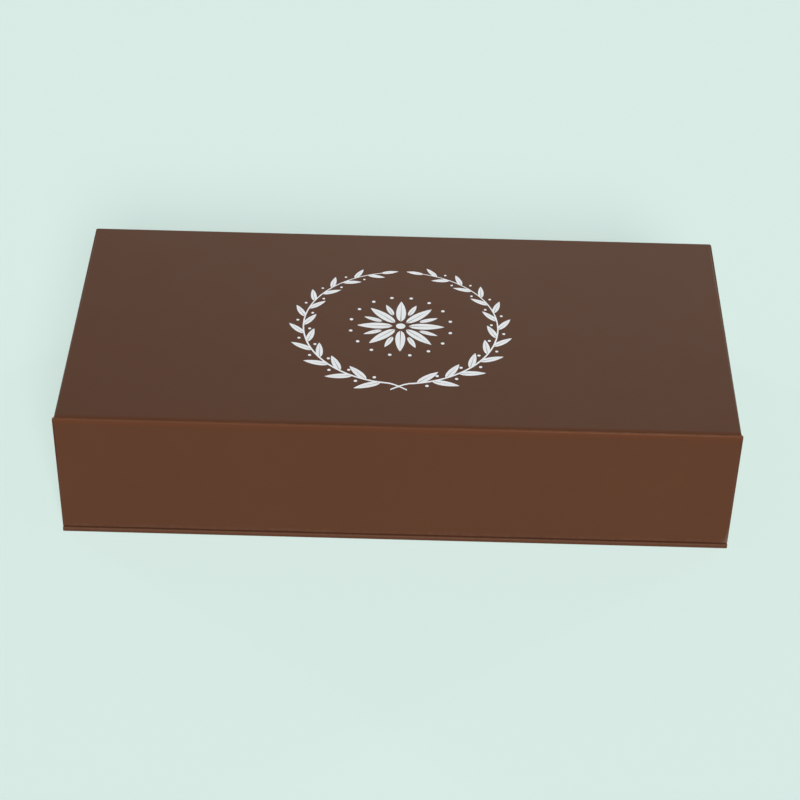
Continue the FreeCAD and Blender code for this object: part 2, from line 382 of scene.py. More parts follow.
# Spots to the metre and detail of each grain
GRAINS = {
    "cloud": (11, 2), "mottle": (95, 3), "tooth": (1700, 3), "scuff": (420, 4), "stretch": (130, 4),
    "sheet cloud": (40, 3), "sheet fibre": (900, 4), "board pulp": (600, 4), "kraft fibre": (1100, 4),
    "card grain": (1500, 3), "card patch": (60, 3), "card fibre": (1300, 4), "scratch": (2500, 3),
    "floor cloud": (1.5, 2),
}
LAID_LINES = 260
BOARD_FLECKS = 520
FLECK_SIZE = 0.16
FLECK_CONTRAST = 4
KRAFT_STRETCH = 0.15
SCRATCH_STRETCH = 0.05
FAINT_RELIEF = 0.05 * MM
FINE_RELIEF = 0.06 * MM
COARSE_RELIEF = 0.1 * MM
FLOOR_BOUNCE = 0.15
EVEN_SHARE = 0.68


def shaded(value, factor=1):
    """Returns a colour as a node wants it, lighter or darker by a factor."""
    return tuple(min(1, channel * factor) for channel in value) + (1,)


def around(middle, *swings):
    """Returns a value that swings about its middle with some grains, each given with its swing."""
    for grain, swing in swings:
        middle = middle + (grain - 0.5) * swing
    return middle


def cover_paper(graph, place, colours):
    """Returns matte brown paper with a fine tooth, faint clouds and worn edges, and painted light: warm
    bounce light in the front fold, a highlight on its crest and a floor reflection along the flap's foot.
    """
    cloud, mottle, tooth, scuff, stretch = (
        graph.grain(place, name) for name in ("cloud", "mottle", "tooth", "scuff", "stretch")
    )
    wear, bend, crest = (graph.attribute(name) for name in ("wear", "bend", "crest"))
    tone = around(0.5, (cloud, 0.5), (mottle, 0.45), (tooth, 0.6)).limited()
    paper = graph.tones(tone, colours.cover, 0.88, 1.12)
    # Painted warm bounce light in the front fold
    with_bounce_tint = graph.mix(bend, paper, shaded(colours.bend), "MULTIPLY")
    # Painted highlight along the front fold's crest
    stretched = (crest * (0.1 + stretch * 1.3)).limited()
    with_crest_highlight = graph.mix(stretched, with_bounce_tint, shaded(colours.crest))
    # Edge wear, with the painted crest highlight and the painted floor reflection along the flap's foot mixed
    # in
    rubbed_and_lit = ((around((wear + crest * 0.8) * 1.3, (scuff, 1.6)) - 0.85) * 0.075).limited()
    return graph.paint({
        "Base Color": graph.mix(rubbed_and_lit, with_crest_highlight, shaded(colours.worn)),
        "Roughness": around(0.7, (mottle, 0.1)) + rubbed_and_lit * 0.1,
        "Specular IOR Level": 0.17,
        "Normal": graph.relief(tooth * 0.7 + mottle * 0.6, 0.22, FINE_RELIEF),
    })


def lining_paper(graph, place, colours):
    """Returns cream laid paper with close lines and a few fibres."""
    lines = graph.add("ShaderNodeTexWave", {
        "Vector": place, "Scale": LAID_LINES, "Distortion": 1.2, "Detail": 2, "Detail Scale": 0.4,
    }, bands_direction="X")["Fac"]
    cloud = graph.grain(place, "sheet cloud")
    fibre = graph.grain(place, "sheet fibre")
    tone = around(0.5, (cloud, 0.3), (fibre, 0.7), (lines, 0.25)).limited()
    return graph.paint({
        "Base Color": graph.tones(tone, colours.lining, 0.88, 1.08),
        "Roughness": around(0.72, (fibre, 0.12)),
        "Specular IOR Level": 0.3,
        "Normal": graph.relief(lines * 0.5 + fibre, 0.25, FINE_RELIEF),
    })


def pulp_board(graph, place, colours):
    """Returns grey pulp board with dark and pale flecks."""
    pulp = graph.grain(place, "board pulp")
    fleck = graph.add("ShaderNodeTexVoronoi", {"Vector": place, "Scale": BOARD_FLECKS})["Distance"]
    dark = ((FLECK_SIZE - fleck).limited() * FLECK_CONTRAST).limited()
    board = graph.tones(pulp, colours.greyboard, 0.75, 1.3)
    return graph.paint({
        "Base Color": graph.mix(dark, board, shaded(colours.greyboard, 0.45)),
        "Roughness": around(0.85, (pulp, 0.1)),
        "Specular IOR Level": 0.2,
        "Normal": graph.relief(pulp, 0.4, COARSE_RELIEF),
    })


def grained(graph, grain, tones, roughness, specular, strength, depth):
    """Returns a matte finish whose tone, gloss and relief follow one grain."""
    return graph.paint({
        "Base Color": graph.tones(grain, *tones),
        "Roughness": around(roughness, (grain, 0.1)),
        "Specular IOR Level": specular,
        "Normal": graph.relief(grain, strength, depth),
    })


def stay_kraft(graph, place, colours):
    """Returns tan kraft paper with long fibres."""
    fibre = graph.grain(graph.stretched(place, KRAFT_STRETCH), "kraft fibre")
    return grained(graph, fibre, (colours.stay, 0.75, 1.25), 0.8, 0.2, 0.3, FINE_RELIEF)


def card_pulp(graph, place, colours):
    """Returns the pale pulp of a cut card edge."""
    fibre = graph.grain(place, "card fibre")
    return grained(graph, fibre, (colours.pulp, 0.8, 1.15), 0.85, 0.2, 0.3, FINE_RELIEF)


def white_ink(graph, place, colours):
    """Returns opaque white ink that lets a little of the paper's tooth through."""
    tooth = graph.grain(place, "tooth")
    return grained(graph, tooth, (colours.ink, 0.94, 1.05), 0.5, 0.3, 0.15, FAINT_RELIEF)


def gold_card(graph, place, colours):
    """Returns foil-faced card with a fine grain and dull patches."""
    grain = graph.grain(place, "card grain")
    patch = graph.grain(place, "card patch")
    return graph.paint({
        "Base Color": graph.tones(patch, colours.foil, 0.9, 1.08),
        "Metallic": 0.75,
        "Roughness": around(0.4, (patch, 0.14), (grain, 0.1)),
        "Normal": graph.relief(grain, 0.2, FAINT_RELIEF),
    })


def nickel(graph, place, colours):
    """Returns nickel plating with fine scratches."""
    scratch = graph.grain(graph.stretched(place, SCRATCH_STRETCH), "scratch")
    return graph.paint({
        "Base Color": graph.tones(scratch, colours.nickel, 0.9, 1.1),
        "Metallic": 1.0,
        "Roughness": around(0.25, (scratch, 0.2)),
    })


def pale_floor(graph, place, colours):
    """Returns the pale floor, which shows partly as lit paper and partly as an even backdrop."""
    seen = graph.seen_rays()
    pale = graph.tones(graph.grain(place, "floor cloud"), colours.floor, 0.995, 1.005)
    lit = graph.paint({
        "Base Color": graph.mix(seen, shaded(colours.floor, FLOOR_BOUNCE), pale),
        "Roughness": 1.0,
        "Specular IOR Level": 0.0,
    })
    even = graph.add("ShaderNodeEmission", {"Color": shaded(colours.backdrop), "Strength": 1.0})["Emission"]
    return graph.mix_shaders(seen * EVEN_SHARE, lit, even)


def finish(make):
    """Returns the finish that a function makes, which it does when it is first called for."""
    name = make.__name__.replace("_", " ")
    material = bpy.data.materials.get(name)
    if not material:
        material = bpy.data.materials.new(name)
        material.use_nodes = True
        graph = Graph(material.node_tree)
        place = graph.add("ShaderNodeTexCoord")["Object"]
        surface = make(graph, place, bpy.context.scene.box_colours)
        graph.add("ShaderNodeOutputMaterial", {"Surface": surface})
    return material


# Meshes of swept paper

# A point of a section: its place along and above the panel, half the sweep's width there, the rounding of the
# sweep's ends, which run to a point where it is negative, and its wear
Stop = namedtuple("Stop", "run rise reach soft wear")

# Distances from an edge with the wear there
NEAR_EDGE = ((0, 0.9), (0.4 * MM, 0.5), (1.2 * MM, 0.15), (3.5 * MM, 0))
EDGE_MIDDLE_WEAR = 0.3
WORN_ROUND = 0.3 * MM

# Steps round arcs and along papers, and places along a web by its width
ROUND_STEPS = 4
CORNER_STEPS = 6
CREASE_STEPS = 6
TURN_STEPS = 5
BEAD_STEPS = 28
RIDGE_STEPS = 30
SLOPE_STEPS = 4
SKIRT_STEPS = 4
LEAN_STEPS = 8
WEB_SHARES = (1, 0.75, 0.5, 0.25, 0.1)
UNDER_SHARES = (0.3, 0.6)

MERGE_DISTANCE = 1e-7
FLAT_DISTANCE = 1e-8
SHARP_ANGLE = math.radians(38)


def arc_points(centre, radius, start, end, steps):
    """Returns points along an arc, both ends among them."""
    angles = [start + (end - start) * step / steps for step in range(steps + 1)]
    return [(centre[0] + radius * math.cos(a), centre[1] + radius * math.sin(a)) for a in angles]


def spread(start, end, spacing):
    """Returns even places between two ends, without the ends."""
    steps = max(1, math.ceil(abs(end - start) / spacing))
    return [start + (end - start) * step / steps for step in range(1, steps)]


def face_places(start, end, spacing):
    """Returns places across a face, closer near its ends, each with its wear."""
    near = NEAR_EDGE[1:]
    margin = near[-1][0]
    first = [(start + distance, wear) for distance, wear in near]
    last = [(end - distance, wear) for distance, wear in reversed(near)]
    return first + [(place, 0) for place in spread(start + margin, end - margin, spacing)] + last


def smooth_step(value):
    """Returns an ease from 0 to 1."""
    value = min(1, max(0, value))
    return value * value * (3 - 2 * value)


def bearing(start, end):
    """Returns the angle of the line from one point to another."""
    return math.atan2(end[1] - start[1], end[0] - start[0])


def free_end(sizes):
    """Returns the section of a wrapped edge, from the outer face to the inner face."""
    r = sizes.edge_round
    outer = [(*point, 1) for point in arc_points((-r, -r), r, QUARTER, 0, ROUND_STEPS)]
    inner = [(*point, 1) for point in arc_points((-r, r - PANEL), r, 0, -QUARTER, ROUND_STEPS)]
    middle = [(0, -PANEL / 2, EDGE_MIDDLE_WEAR)]
    return [Stop(run, rise, HALF_WIDTH, r, wear) for run, rise, wear in outer + middle + inner]


def ear_reach(sizes, distance):
    """Returns half the width of a fold's paper at a distance from its bead, where it widens to its ears."""
    return HALF_WIDTH + (FOLD_REACH - HALF_WIDTH) * smooth_step(1 - distance / sizes.ear_spread)


def board_end(sizes):
    """Returns the end of a board under a fold's paper."""
    return [Stop(0, rise, HALF_WIDTH, sizes.hem_round, 0) for rise in (-sizes.ply, -PANEL / 2, -PANEL)]


def skirt_end(sizes):
    """Returns a panel's end whose paper goes straight on as a skirt beside the next fold's bead."""
    points = [(FOLD_SKIRT * step / SKIRT_STEPS, 0) for step in range(SKIRT_STEPS + 1)]
    return skirt_stops(sizes, points, FOLD_SKIRT)


def leaning_end(sizes):
    """Returns the flap's upper end, whose skirt bends back towards the front fold's bead."""
    lean = sizes.ridge_lean
    touch = Vector((RIDGE_SKIRT + RIDGE * math.sin(lean), RIDGE * math.cos(lean) - RIDGE_FACE))
    bend = Vector((touch.x + touch.y / math.tan(lean), 0))
    shares = [step / LEAN_STEPS for step in range(LEAN_STEPS + 1)]
    points = [bend * (2 * share * (1 - share)) + touch * share ** 2 for share in shares]
    return skirt_stops(sizes, points, RIDGE_SKIRT)


def skirt_stops(sizes, points, bead_run):
    """Returns a skirt's points out along its face and back, then down the board's end."""
    outer = []
    for run, rise in points:
        outer.append(Stop(run, rise, ear_reach(sizes, abs(bead_run - run)), sizes.hem_round, 0))
    inner = [stop._replace(rise=stop.rise - sizes.ply) for stop in reversed(outer[1:])]
    return outer + inner + board_end(sizes)


def plain_end(sizes):
    """Returns a panel's end whose paper runs level onto a bead on the fold's axis."""
    under = BEAD - sizes.ply
    meeting = Vector((-math.sqrt(BEAD ** 2 - under ** 2), under))
    outer = [(-FOLD_WEB * share, BEAD) for share in WEB_SHARES]
    around_bead = arc_points((0, 0), BEAD, QUARTER, bearing((0, 0), meeting) - 2 * math.pi, BEAD_STEPS)
    inner = [(meeting.x + (-FOLD_WEB - meeting.x) * share, under) for share in UNDER_SHARES]
    return bead_stops(sizes, BEAD, outer, around_bead, inner)


def grooved_end(sizes):
    """Returns the lid's front end, whose paper slopes into a groove and climbs onto a slim bead."""
    slope = sizes.groove_slope
    down = Vector((math.cos(slope), -math.sin(slope)))
    above = Vector((math.sin(slope), math.cos(slope)))
    face = RIDGE - RIDGE_RISE

    # The shoulder's arc, then the slope down to a crease that touches both slope and bead
    shoulder = Vector((-FOLD_WEB, face - sizes.shoulder))
    slope_start = shoulder + above * sizes.shoulder
    lowered = slope_start + above * sizes.crease
    ahead = -lowered.dot(down)
    slope_length = ahead - math.sqrt(ahead ** 2 - lowered.dot(lowered) + (RIDGE + sizes.crease) ** 2)
    crease = lowered + down * slope_length
    slope_angle = QUARTER - slope
    bead_start = bearing((0, 0), crease)

    # Where the paper's underside leaves the bead again
    under_radius = sizes.crease + sizes.ply
    apart = crease.length
    near = (apart ** 2 + RIDGE ** 2 - under_radius ** 2) / (2 * apart)
    bead_stop = bead_start + math.acos(near / RIDGE)
    meeting = Vector((math.cos(bead_stop), math.sin(bead_stop))) * RIDGE
    under_start = bearing(crease, meeting) % (2 * math.pi)

    outer = arc_points(shoulder, sizes.shoulder, QUARTER, slope_angle, ROUND_STEPS)
    outer += [slope_start + down * (slope_length * step / SLOPE_STEPS) for step in range(1, SLOPE_STEPS)]
    outer += arc_points(crease, sizes.crease, slope_angle + math.pi, bead_start + math.pi, CREASE_STEPS)
    around_bead = arc_points((0, 0), RIDGE, bead_start, bead_stop - 2 * math.pi, RIDGE_STEPS)[1:]
    under = arc_points(crease, under_radius, under_start, slope_angle + math.pi, ROUND_STEPS)[1:]
    under += arc_points(shoulder, sizes.shoulder - sizes.ply, slope_angle, QUARTER, ROUND_STEPS)[:-1]
    return bead_stops(sizes, face, outer, around_bead, under)


def bead_stops(sizes, face, outer, around_bead, under):
    """Returns a fold's points from the panel round the bead and back, then down the board's end."""
    stops = []
    for points in (outer, around_bead, under):
        is_bead = points is around_bead
        soft = -sizes.ear_point if is_bead else sizes.hem_round
        for run, height in points:
            reach = ear_reach(sizes, 0 if is_bead else -run)
            stops.append(Stop(run + FOLD_WEB, height - face, reach, soft, 0))
    return stops + board_end(sizes)


def panel_section(sizes, extent, start, end):
    """Returns the closed section of a panel between two ends, which are given from outside to inside."""
    start_stops = [stop._replace(run=-stop.run) for stop in reversed(start)]
    end_stops = [stop._replace(run=extent + stop.run) for stop in end]

    def face(first, last):
        backwards = first.run > last.run
        places = face_places(min(first.run, last.run), max(first.run, last.run), sizes.spacing)
        for run, wear in reversed(places) if backwards else places:
            nearest = min(last, first, key=lambda stop: abs(run - stop.run))
            away = smooth_step(abs(run - nearest.run) / sizes.hem_ease)
            soft = nearest.soft + (sizes.edge_round - nearest.soft) * away
            yield Stop(run, first.rise, HALF_WIDTH, soft, wear if nearest.wear else 0)

    outer = list(face(start_stops[-1], end_stops[0]))
    inner = list(face(end_stops[-1], start_stops[0]))
    return outer + end_stops + inner + start_stops


def section_normals(stops):
    """Returns the outward direction at each point of a section, which runs clockwise."""
    points = [Vector((stop.run, stop.rise)) for stop in stops]
    normals = []
    for before, here, after in zip(points[-1:] + points, points, points[1:] + points[:1]):
        way = (here - before).normalized() + (after - here).normalized()
        normals.append(Vector((-way.y, way.x)).normalized())
    return normals


def sweep_columns(stops, spacing):
    """Returns a sweep's columns from left to right: side, turn round the end, distance from it and wear.

    Columns on neither side stand between the ends, and have their place as distance.
    """
    inside = min(stop.reach - abs(stop.soft) for stop in stops) - NEAR_EDGE[-1][0]
    left = [(-1, QUARTER * step / ROUND_STEPS, 0, 1) for step in range(ROUND_STEPS, 0, -1)]
    left += [(-1, 0, distance, wear) for distance, wear in NEAR_EDGE]
    right = [(1, *rest) for _, *rest in reversed(left)]
    return left + [(0, 0, x, 0) for x in spread(-inside, inside, spacing)] + right


def end_place(stop, turn, distance):
    """Returns how far out a point at a sweep's end lies, and how far inside the section."""
    if stop.soft < 0:
        inset = -stop.soft * turn / QUARTER
        return stop.reach + stop.soft + inset - distance, inset
    return stop.reach - stop.soft * (1 - math.sin(turn)) - distance, stop.soft * (1 - math.cos(turn))


def ring_faces(rings, size, closed=False):
    """Returns the faces between rings of points, also between the last and the first if closed."""
    faces = []
    for ring in range(rings if closed else rings - 1):
        low = ring * size
        high = (ring + 1) % rings * size
        for here in range(size):
            after = (here + 1) % size
            faces.append((low + here, low + after, high + after, high + here))
    return faces


def swept_mesh(name, stops, place, spacing):
    """Sweeps a closed section across the case, with its two ends rounded and closed."""
    normals = section_normals(stops)
    columns = sweep_columns(stops, spacing)
    points, wear = [], []
    for side, turn, distance, column_wear in columns:
        for stop, normal in zip(stops, normals):
            out, inset = end_place(stop, turn, distance)
            x = side * out if side else distance
            points.append(place(x, stop.run - normal.x * inset, stop.rise - normal.y * inset))
            wear.append(max(stop.wear, column_wear if stop.soft > WORN_ROUND else 0))
    faces = ring_faces(len(columns), len(stops))
    cap = tessellate_polygon([[Vector((stop.run, stop.rise, 0)) / MM for stop in stops]])
    for first in (0, len(points) - len(stops)):
        faces += [tuple(first + index for index in triangle) for triangle in cap]
    return closed_mesh(name, points, faces, wear)


def closed_mesh(name, points, faces, wear):
    """Returns a smooth closed mesh that holds its wear."""
    mesh = bpy.data.meshes.new(name)
    mesh.from_pydata(points, [], faces)
    mesh.attributes.new("wear", "FLOAT", "POINT").data.foreach_set("value", wear)
    return smoothed(mesh)


def smoothed(mesh):
    """Merges doubles, turns faces outwards and shades them smooth, except across sharp edges."""
    work = bmesh.new()
    work.from_mesh(mesh)
    bmesh.ops.remove_doubles(work, verts=work.verts, dist=MERGE_DISTANCE)
    bmesh.ops.dissolve_degenerate(work, edges=work.edges, dist=FLAT_DISTANCE)
    bmesh.ops.recalc_face_normals(work, faces=work.faces)
    for polygon in work.faces:
        polygon.smooth = True
    work.to_mesh(mesh)
    work.free()
    mesh.set_sharp_from_angle(angle=SHARP_ANGLE)
    mesh.update()
    return mesh


def add_object(name, data):
    """Adds an object to the scene."""
    item = bpy.data.objects.new(name, data)
    bpy.context.scene.collection.objects.link(item)
    return item


def add_piece(name, mesh, body, nodes=(), material=None):
    """Adds a finished piece that rides on a body and stands for some nodes."""
    piece = add_object(name, mesh)
    if material:
        mesh.materials.append(material)
    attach(piece, body)
    if nodes:
        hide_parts(*nodes)
    return piece


# The body that a panel rides on, how far its section runs, and where the section's run and rise point
Placing = namedtuple("Placing", "body extent place")
PLACINGS = {
    "lid": Placing(
        "lid", LID[1].y - LID[0].y, lambda x, run, rise: (x, LID[1].y - run, LID[1].z + rise)),
    "flap": Placing(
        "flap", FLAP[1].z - FLAP[0].z, lambda x, run, rise: (x, FLAP[0].y - rise, FLAP[1].z - run)),
    "base": Placing(
        "case", BASE[1].y - BASE[0].y, lambda x, run, rise: (x, BASE[0].y + run, BASE[0].z - rise)),
    "spine": Placing(
        "case", SPINE[1].z - SPINE[0].z, lambda x, run, rise: (x, SPINE[1].y + rise, SPINE[0].z + run)),
    "floor": Placing(
        "case", FLOOR_SHEET[1].y - FLOOR_SHEET[0].y, lambda x, run, rise: (x, FLOOR_SHEET[0].y + run, rise)),
}
FOLDS = {"lid": ("lid_fold", "flap_fold"), "flap": (), "base": ("base_fold",), "spine": ()}


class CHOCOLATE_BOX_OT_case_covers(bpy.types.Operator):
    """Wraps lid, flap, base and spine in cover paper, with the grooves and beads of the folds"""

    bl_idname = "chocolate_box.case_covers"
    bl_label = "Case covers"

    def execute(self, context):
        sizes = context.scene.box_covers
        plain = plain_end(sizes)
        skirt = skirt_end(sizes)
        edge = free_end(sizes)
        ends = {
            "lid": (plain, grooved_end(sizes)), "flap": (leaning_end(sizes), edge),
            "base": (edge, plain), "spine": (skirt, skirt),
        }
        for panel, (start, end) in ends.items():
            body, extent, place = PLACINGS[panel]
            name = f"{panel}_cover"
            mesh = swept_mesh(name, panel_section(sizes, extent, start, end), place, sizes.spacing)
            # The front fold gets painted bounce light and a painted crest highlight, and the flap's foot a
            # painted floor reflection
            if panel == "lid":
                mark_fold(mesh, sizes, sizes.groove_bend)
            if panel == "flap":
                mark_fold(mesh, sizes, sizes.flap_bend)
                pale_foot(mesh, sizes)
                wave_foot(mesh, sizes)
            add_piece(name, mesh, body, (f"{panel}_wrap", *FOLDS[panel]), finish(cover_paper))
        return {"FINISHED"}


# By the crease's radius: how far paper may lie from the bead and still count as its own
BEAD_SLACK = 1 / 4
CREST_STEEPNESS = 2


def mark_fold(mesh, sizes, reach):
    """Marks the front fold's paper for painted warm bounce light, and its bead's crest for a painted
    highlight, more so to the right.
    """
    for name in ("bend", "crest"):
        mesh.attributes.new(name, "FLOAT", "POINT")
    bounce_tints = mesh.attributes["bend"].data
    crest_highlights = mesh.attributes["crest"].data
    for vertex, bend, crest in zip(mesh.vertices, bounce_tints, crest_highlights):
        away = vertex.co - FLAP_AXIS
        distance = math.hypot(away.y, away.z)
        # Painted warm bounce light, full near the bead and gone at the flat paper
        bend.value = smooth_step((reach - distance) / (reach - RIDGE - sizes.crease))
        # Painted highlight on the bead's crest, stronger to the right
        if distance < RIDGE + sizes.crease * BEAD_SLACK:
            lean = math.atan2(-away.y, away.z)
            beside = abs(lean - sizes.crest_lean) / sizes.crest_width
            stretch = smooth_step((1 - beside) * CREST_STEEPNESS)
            to_right = smooth_step(vertex.co.x / HALF_WIDTH / sizes.crest_full)
            crest.value = stretch * (sizes.crest_least + (1 - sizes.crest_least) * to_right)


# Share of the height, radians to the metre and start of each wave along the flap's foot
FOOT_WAVES = ((0.6, 105, 0.7), (0.4, 262, 2.1))
ON_LIMIT = 0.01


def pale_foot(mesh, sizes):
    """Paints a faint floor reflection into the wear along the flap's lower edge, and pales its lower right
    corner more.
    """
    corner = Vector((HALF_WIDTH, FLAP[0].y, FLAP[0].z))
    for vertex, mark in zip(mesh.vertices, mesh.attributes["wear"].data):
        away = (vertex.co - corner) / sizes.corner_pale_length
        away.x /= sizes.corner_pale_share
        height = (vertex.co.z - FLAP[0].z) / sizes.foot_reflection
        # Painted floor reflection along the lower edge, fading upwards
        if height < 1 + ON_LIMIT:
            mark.value = max(mark.value, sizes.foot_reflection_strength * (1 - sizes.foot_fade * height))
        # Paler paper towards the lower right corner
        mark.value += sizes.corner_paling * smooth_step(1 - away.length)


def wave_foot(mesh, sizes):
    """Lowers the flap's lower edge a little, in slight waves."""
    for vertex in mesh.vertices:
        lowered = smooth_step(1 - (vertex.co.z - FLAP[0].z) / sizes.foot_height)
        if lowered > 0:
            wave = sum(part * math.sin(vertex.co.x * rate + start) for part, rate, start in FOOT_WAVES)
            vertex.co.z += lowered * (sizes.foot_wave * wave - sizes.foot_sag)


class CHOCOLATE_BOX_OT_linings(bpy.types.Operator):
    """Lines the insides of lid, flap, base and spine"""

    bl_idname = "chocolate_box.linings"
    bl_label = "Linings"

    def execute(self, context):
        covers = context.scene.box_covers
        sizes = context.scene.box_linings
        under_tray = TRAY[0].y + PANEL - BASE[0].y
        borders = {"lid": (0, 0), "flap": (0, sizes.border), "base": (under_tray, 0), "spine": (0, 0)}
        for panel, (start_border, end_border) in borders.items():
            body, extent, place = PLACINGS[panel]
            name = f"{panel}_lining"
            section = lining_section(covers, sizes, extent, start_border, end_border)
            mesh = swept_mesh(name, section, place, sizes.spacing)
            if panel == "flap":
                raise_marks(mesh, "flap", sizes.magnet_rise, 1)
            add_piece(name, mesh, body, (f"{panel}_liner",), finish(lining_paper))
        return {"FINISHED"}


# By a sheet's thickness: the rounding of its edge, how deep it sinks in, and the radius of a turned-up end
SHEET_ROUND = 1 / 3
SHEET_SUNK = 1 / 2
SHEET_TURN = 3


def lining_section(covers, sizes, extent, start_border, end_border):
    """Returns the section of a lining, which turns up the board's end where it has no border."""
    proud_by = sizes.thickness
    soft = proud_by * SHEET_ROUND
    depth = proud_by * SHEET_SUNK
    turn = proud_by * SHEET_TURN
    proud = -PANEL - proud_by
    sunk = -PANEL + depth
    top = -covers.ply - sizes.gap

    def end(border):
        """Returns a lining's end from the sunk face round to the proud face."""
        if border:
            return [(-border, sunk), (-border, proud + soft), (-border - soft, proud)]
        bend = arc_points((proud_by - turn, proud + turn), turn, 0, -QUARTER, TURN_STEPS)
        return [(-depth, sunk), (-depth, top), (proud_by, top)] + bend

    start_points = [(-run, rise) for run, rise in reversed(end(start_border))]
    end_points = [(extent + run, rise) for run, rise in end(end_border)]
    sunk_face = [(run, sunk) for run in spread(start_points[-1][0], end_points[0][0], sizes.spacing)]
    proud_face = [(run, proud) for run in spread(end_points[-1][0], start_points[0][0], sizes.spacing)]
    points = sunk_face + end_points + proud_face + start_points
    return [Stop(run, rise, HALF_WIDTH - sizes.border, soft, 0) for run, rise in points]


MARK_MARGIN = 1.2 * MM
MARK_EASE = 2 * MM


def raise_marks(mesh, owner, rise, side):
    """Lifts the paper over a pair of magnets, in front of them (side -1) or behind them (side 1)."""
    for hand in ("left", "right"):
        low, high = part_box(f"{owner}_magnet_{hand}")
        middle = (low + high) / 2
        reach = (high.x - low.x) / 2 + MARK_MARGIN
        for vertex in mesh.vertices:
            if (vertex.co.y - middle.y) * side > 0:
                across = math.hypot(vertex.co.x - middle.x, vertex.co.z - middle.z)
                vertex.co.y += side * rise * smooth_step((reach - across) / MARK_EASE)


class CHOCOLATE_BOX_OT_tray(bpy.types.Operator):
    """Wraps the tray's walls and lays the sheet on its floor"""

    bl_idname = "chocolate_box.tray"
    bl_label = "Tray"

    def execute(self, context):
        sizes = context.scene.box_tray
        walls = tray_walls(sizes)
        raise_marks(walls, "tray", sizes.magnet_rise, -1)
        add_piece("tray_cover", walls, "case", ("tray_wrap",), finish(cover_paper))
        sheet = floor_sheet(context.scene.box_linings)
        add_piece("tray_floor_sheet", sheet, "case", ("tray_liner",), finish(lining_paper))
        return {"FINISHED"}


def tray_ring(sizes, inset):
    """Returns one ring of points round the tray, at an inset from its outside."""
    middle = (TRAY[0] + TRAY[1]) / 2
    half = (TRAY[1] - TRAY[0]) / 2
    r = sizes.corner_round + (sizes.inner_round - sizes.corner_round) * inset / PANEL
    corners = []
    for turn, (side_x, side_y) in enumerate(((1, 1), (-1, 1), (-1, -1), (1, -1))):
        centre = (middle.x + side_x * (half.x - inset - r), middle.y + side_y * (half.y - inset - r))
        start = turn * QUARTER
        corners.append(arc_points(centre, r, start, start + QUARTER, CORNER_STEPS))
    points = []
    for turn, corner in enumerate(corners):
        start = Vector(corner[-1])
        end = Vector(corners[(turn + 1) % len(corners)][0])
        steps = math.ceil(2 * (half[turn % 2] - sizes.corner_round) / sizes.spacing)
        points += corner + [start.lerp(end, step / steps) for step in range(1, steps)]
    return points


def tray_walls(sizes):
    """Returns the wrapped walls of the tray, rounded over the rim."""
    foot = TRAY[0].z
    r = sizes.rim_round
    rim = TRAY[1].z - r
    heights = [foot] + spread(foot, rim, sizes.spacing)
    over_rim = arc_points((r, rim), r, math.pi, QUARTER, ROUND_STEPS)
    over_rim += arc_points((PANEL - r, rim), r, QUARTER, 0, ROUND_STEPS)
    profile = [(0, z, 0) for z in heights]
    profile += [(inset, z, sizes.rim_wear) for inset, z in over_rim]
    profile += [(PANEL, z, 0) for z in reversed(heights)]
    points, wear = [], []
    for inset, z, worn in profile:
        ring = tray_ring(sizes, inset)
        points += [(x, y, z) for x, y in ring]
        wear += [worn] * len(ring)
    faces = ring_faces(len(profile), len(ring), closed=True)
    return closed_mesh("tray_cover", points, faces, wear)


def floor_sheet(sizes):
    """Returns the sheet on the tray's floor."""
    low, high = FLOOR_SHEET
    _, extent, place = PLACINGS["floor"]
    soft = (high.z - low.z) * SHEET_ROUND
    runs = [0, soft] + spread(0, extent, sizes.spacing) + [extent - soft, extent]
    points = [(run, high.z) for run in runs] + [(run, low.z) for run in reversed(runs)]
    section = [Stop(run, rise, high.x, soft, 0) for run, rise in points]
    return swept_mesh("tray_floor_sheet", section, place, sizes.spacing)


# Pieces grown by node trees

def new_tree(name, inputs):
    """Returns a geometry tree's graph and its inputs by name."""
    tree = bpy.data.node_groups.new(name, "GeometryNodeTree")
    kinds = {float: "NodeSocketFloat", int: "NodeSocketInt"}
    for label, value in inputs.items():
        socket = tree.interface.new_socket(label, in_out="INPUT", socket_type=kinds[type(value)])
        socket.default_value = value
    tree.interface.new_socket("Geometry", in_out="OUTPUT", socket_type="NodeSocketGeometry")
    graph = Graph(tree)
    source = graph.add("NodeGroupInput")
    return graph, {label: source[label] for label in inputs}


def grown_mesh(graph, inputs, geometry):
    """Closes a tree, sets its inputs and returns the plain mesh that it makes."""
    tree = graph.tree
    graph.add("NodeGroupOutput", {"Geometry": geometry})
    holder = add_object(tree.name, bpy.data.meshes.new(tree.name))
    modifier = holder.modifiers.new(tree.name, "NODES")
    modifier.node_group = tree
    for item in tree.interface.items_tree:
        if item.in_out == "INPUT":
            modifier[item.identifier] = inputs[item.name]
    depsgraph = bpy.context.evaluated_depsgraph_get()
    mesh = bpy.data.meshes.new_from_object(holder.evaluated_get(depsgraph), depsgraph=depsgraph)
    holder.modifiers.remove(modifier)
    bpy.data.objects.remove(holder)
    return mesh


def point_index(graph):
    """Returns the index of each point or face."""
    return graph.add("GeometryNodeInputIndex")["Index"]


def point_row(graph, points):
    """Returns a row of points and their index."""
    line = graph.add("GeometryNodeMeshLine", {"Count": points})["Mesh"]
    return line, point_index(graph)


def unit_grid(graph, columns, rows):
    """Adds a grid and returns it with each point's column and row."""
    grid = graph.add("GeometryNodeMeshGrid", {"Vertices X": columns, "Vertices Y": rows})["Mesh"]
    index = point_index(graph)
    column = (index / rows).floor()
    return grid, column, index - column * rows


def moved(graph, geometry, x, y, z):
    """Puts each point at a worked-out place."""
    sockets = {"Geometry": geometry, "Position": graph.vector(x, y, z)}
    return graph.add("GeometryNodeSetPosition", sockets)["Geometry"]


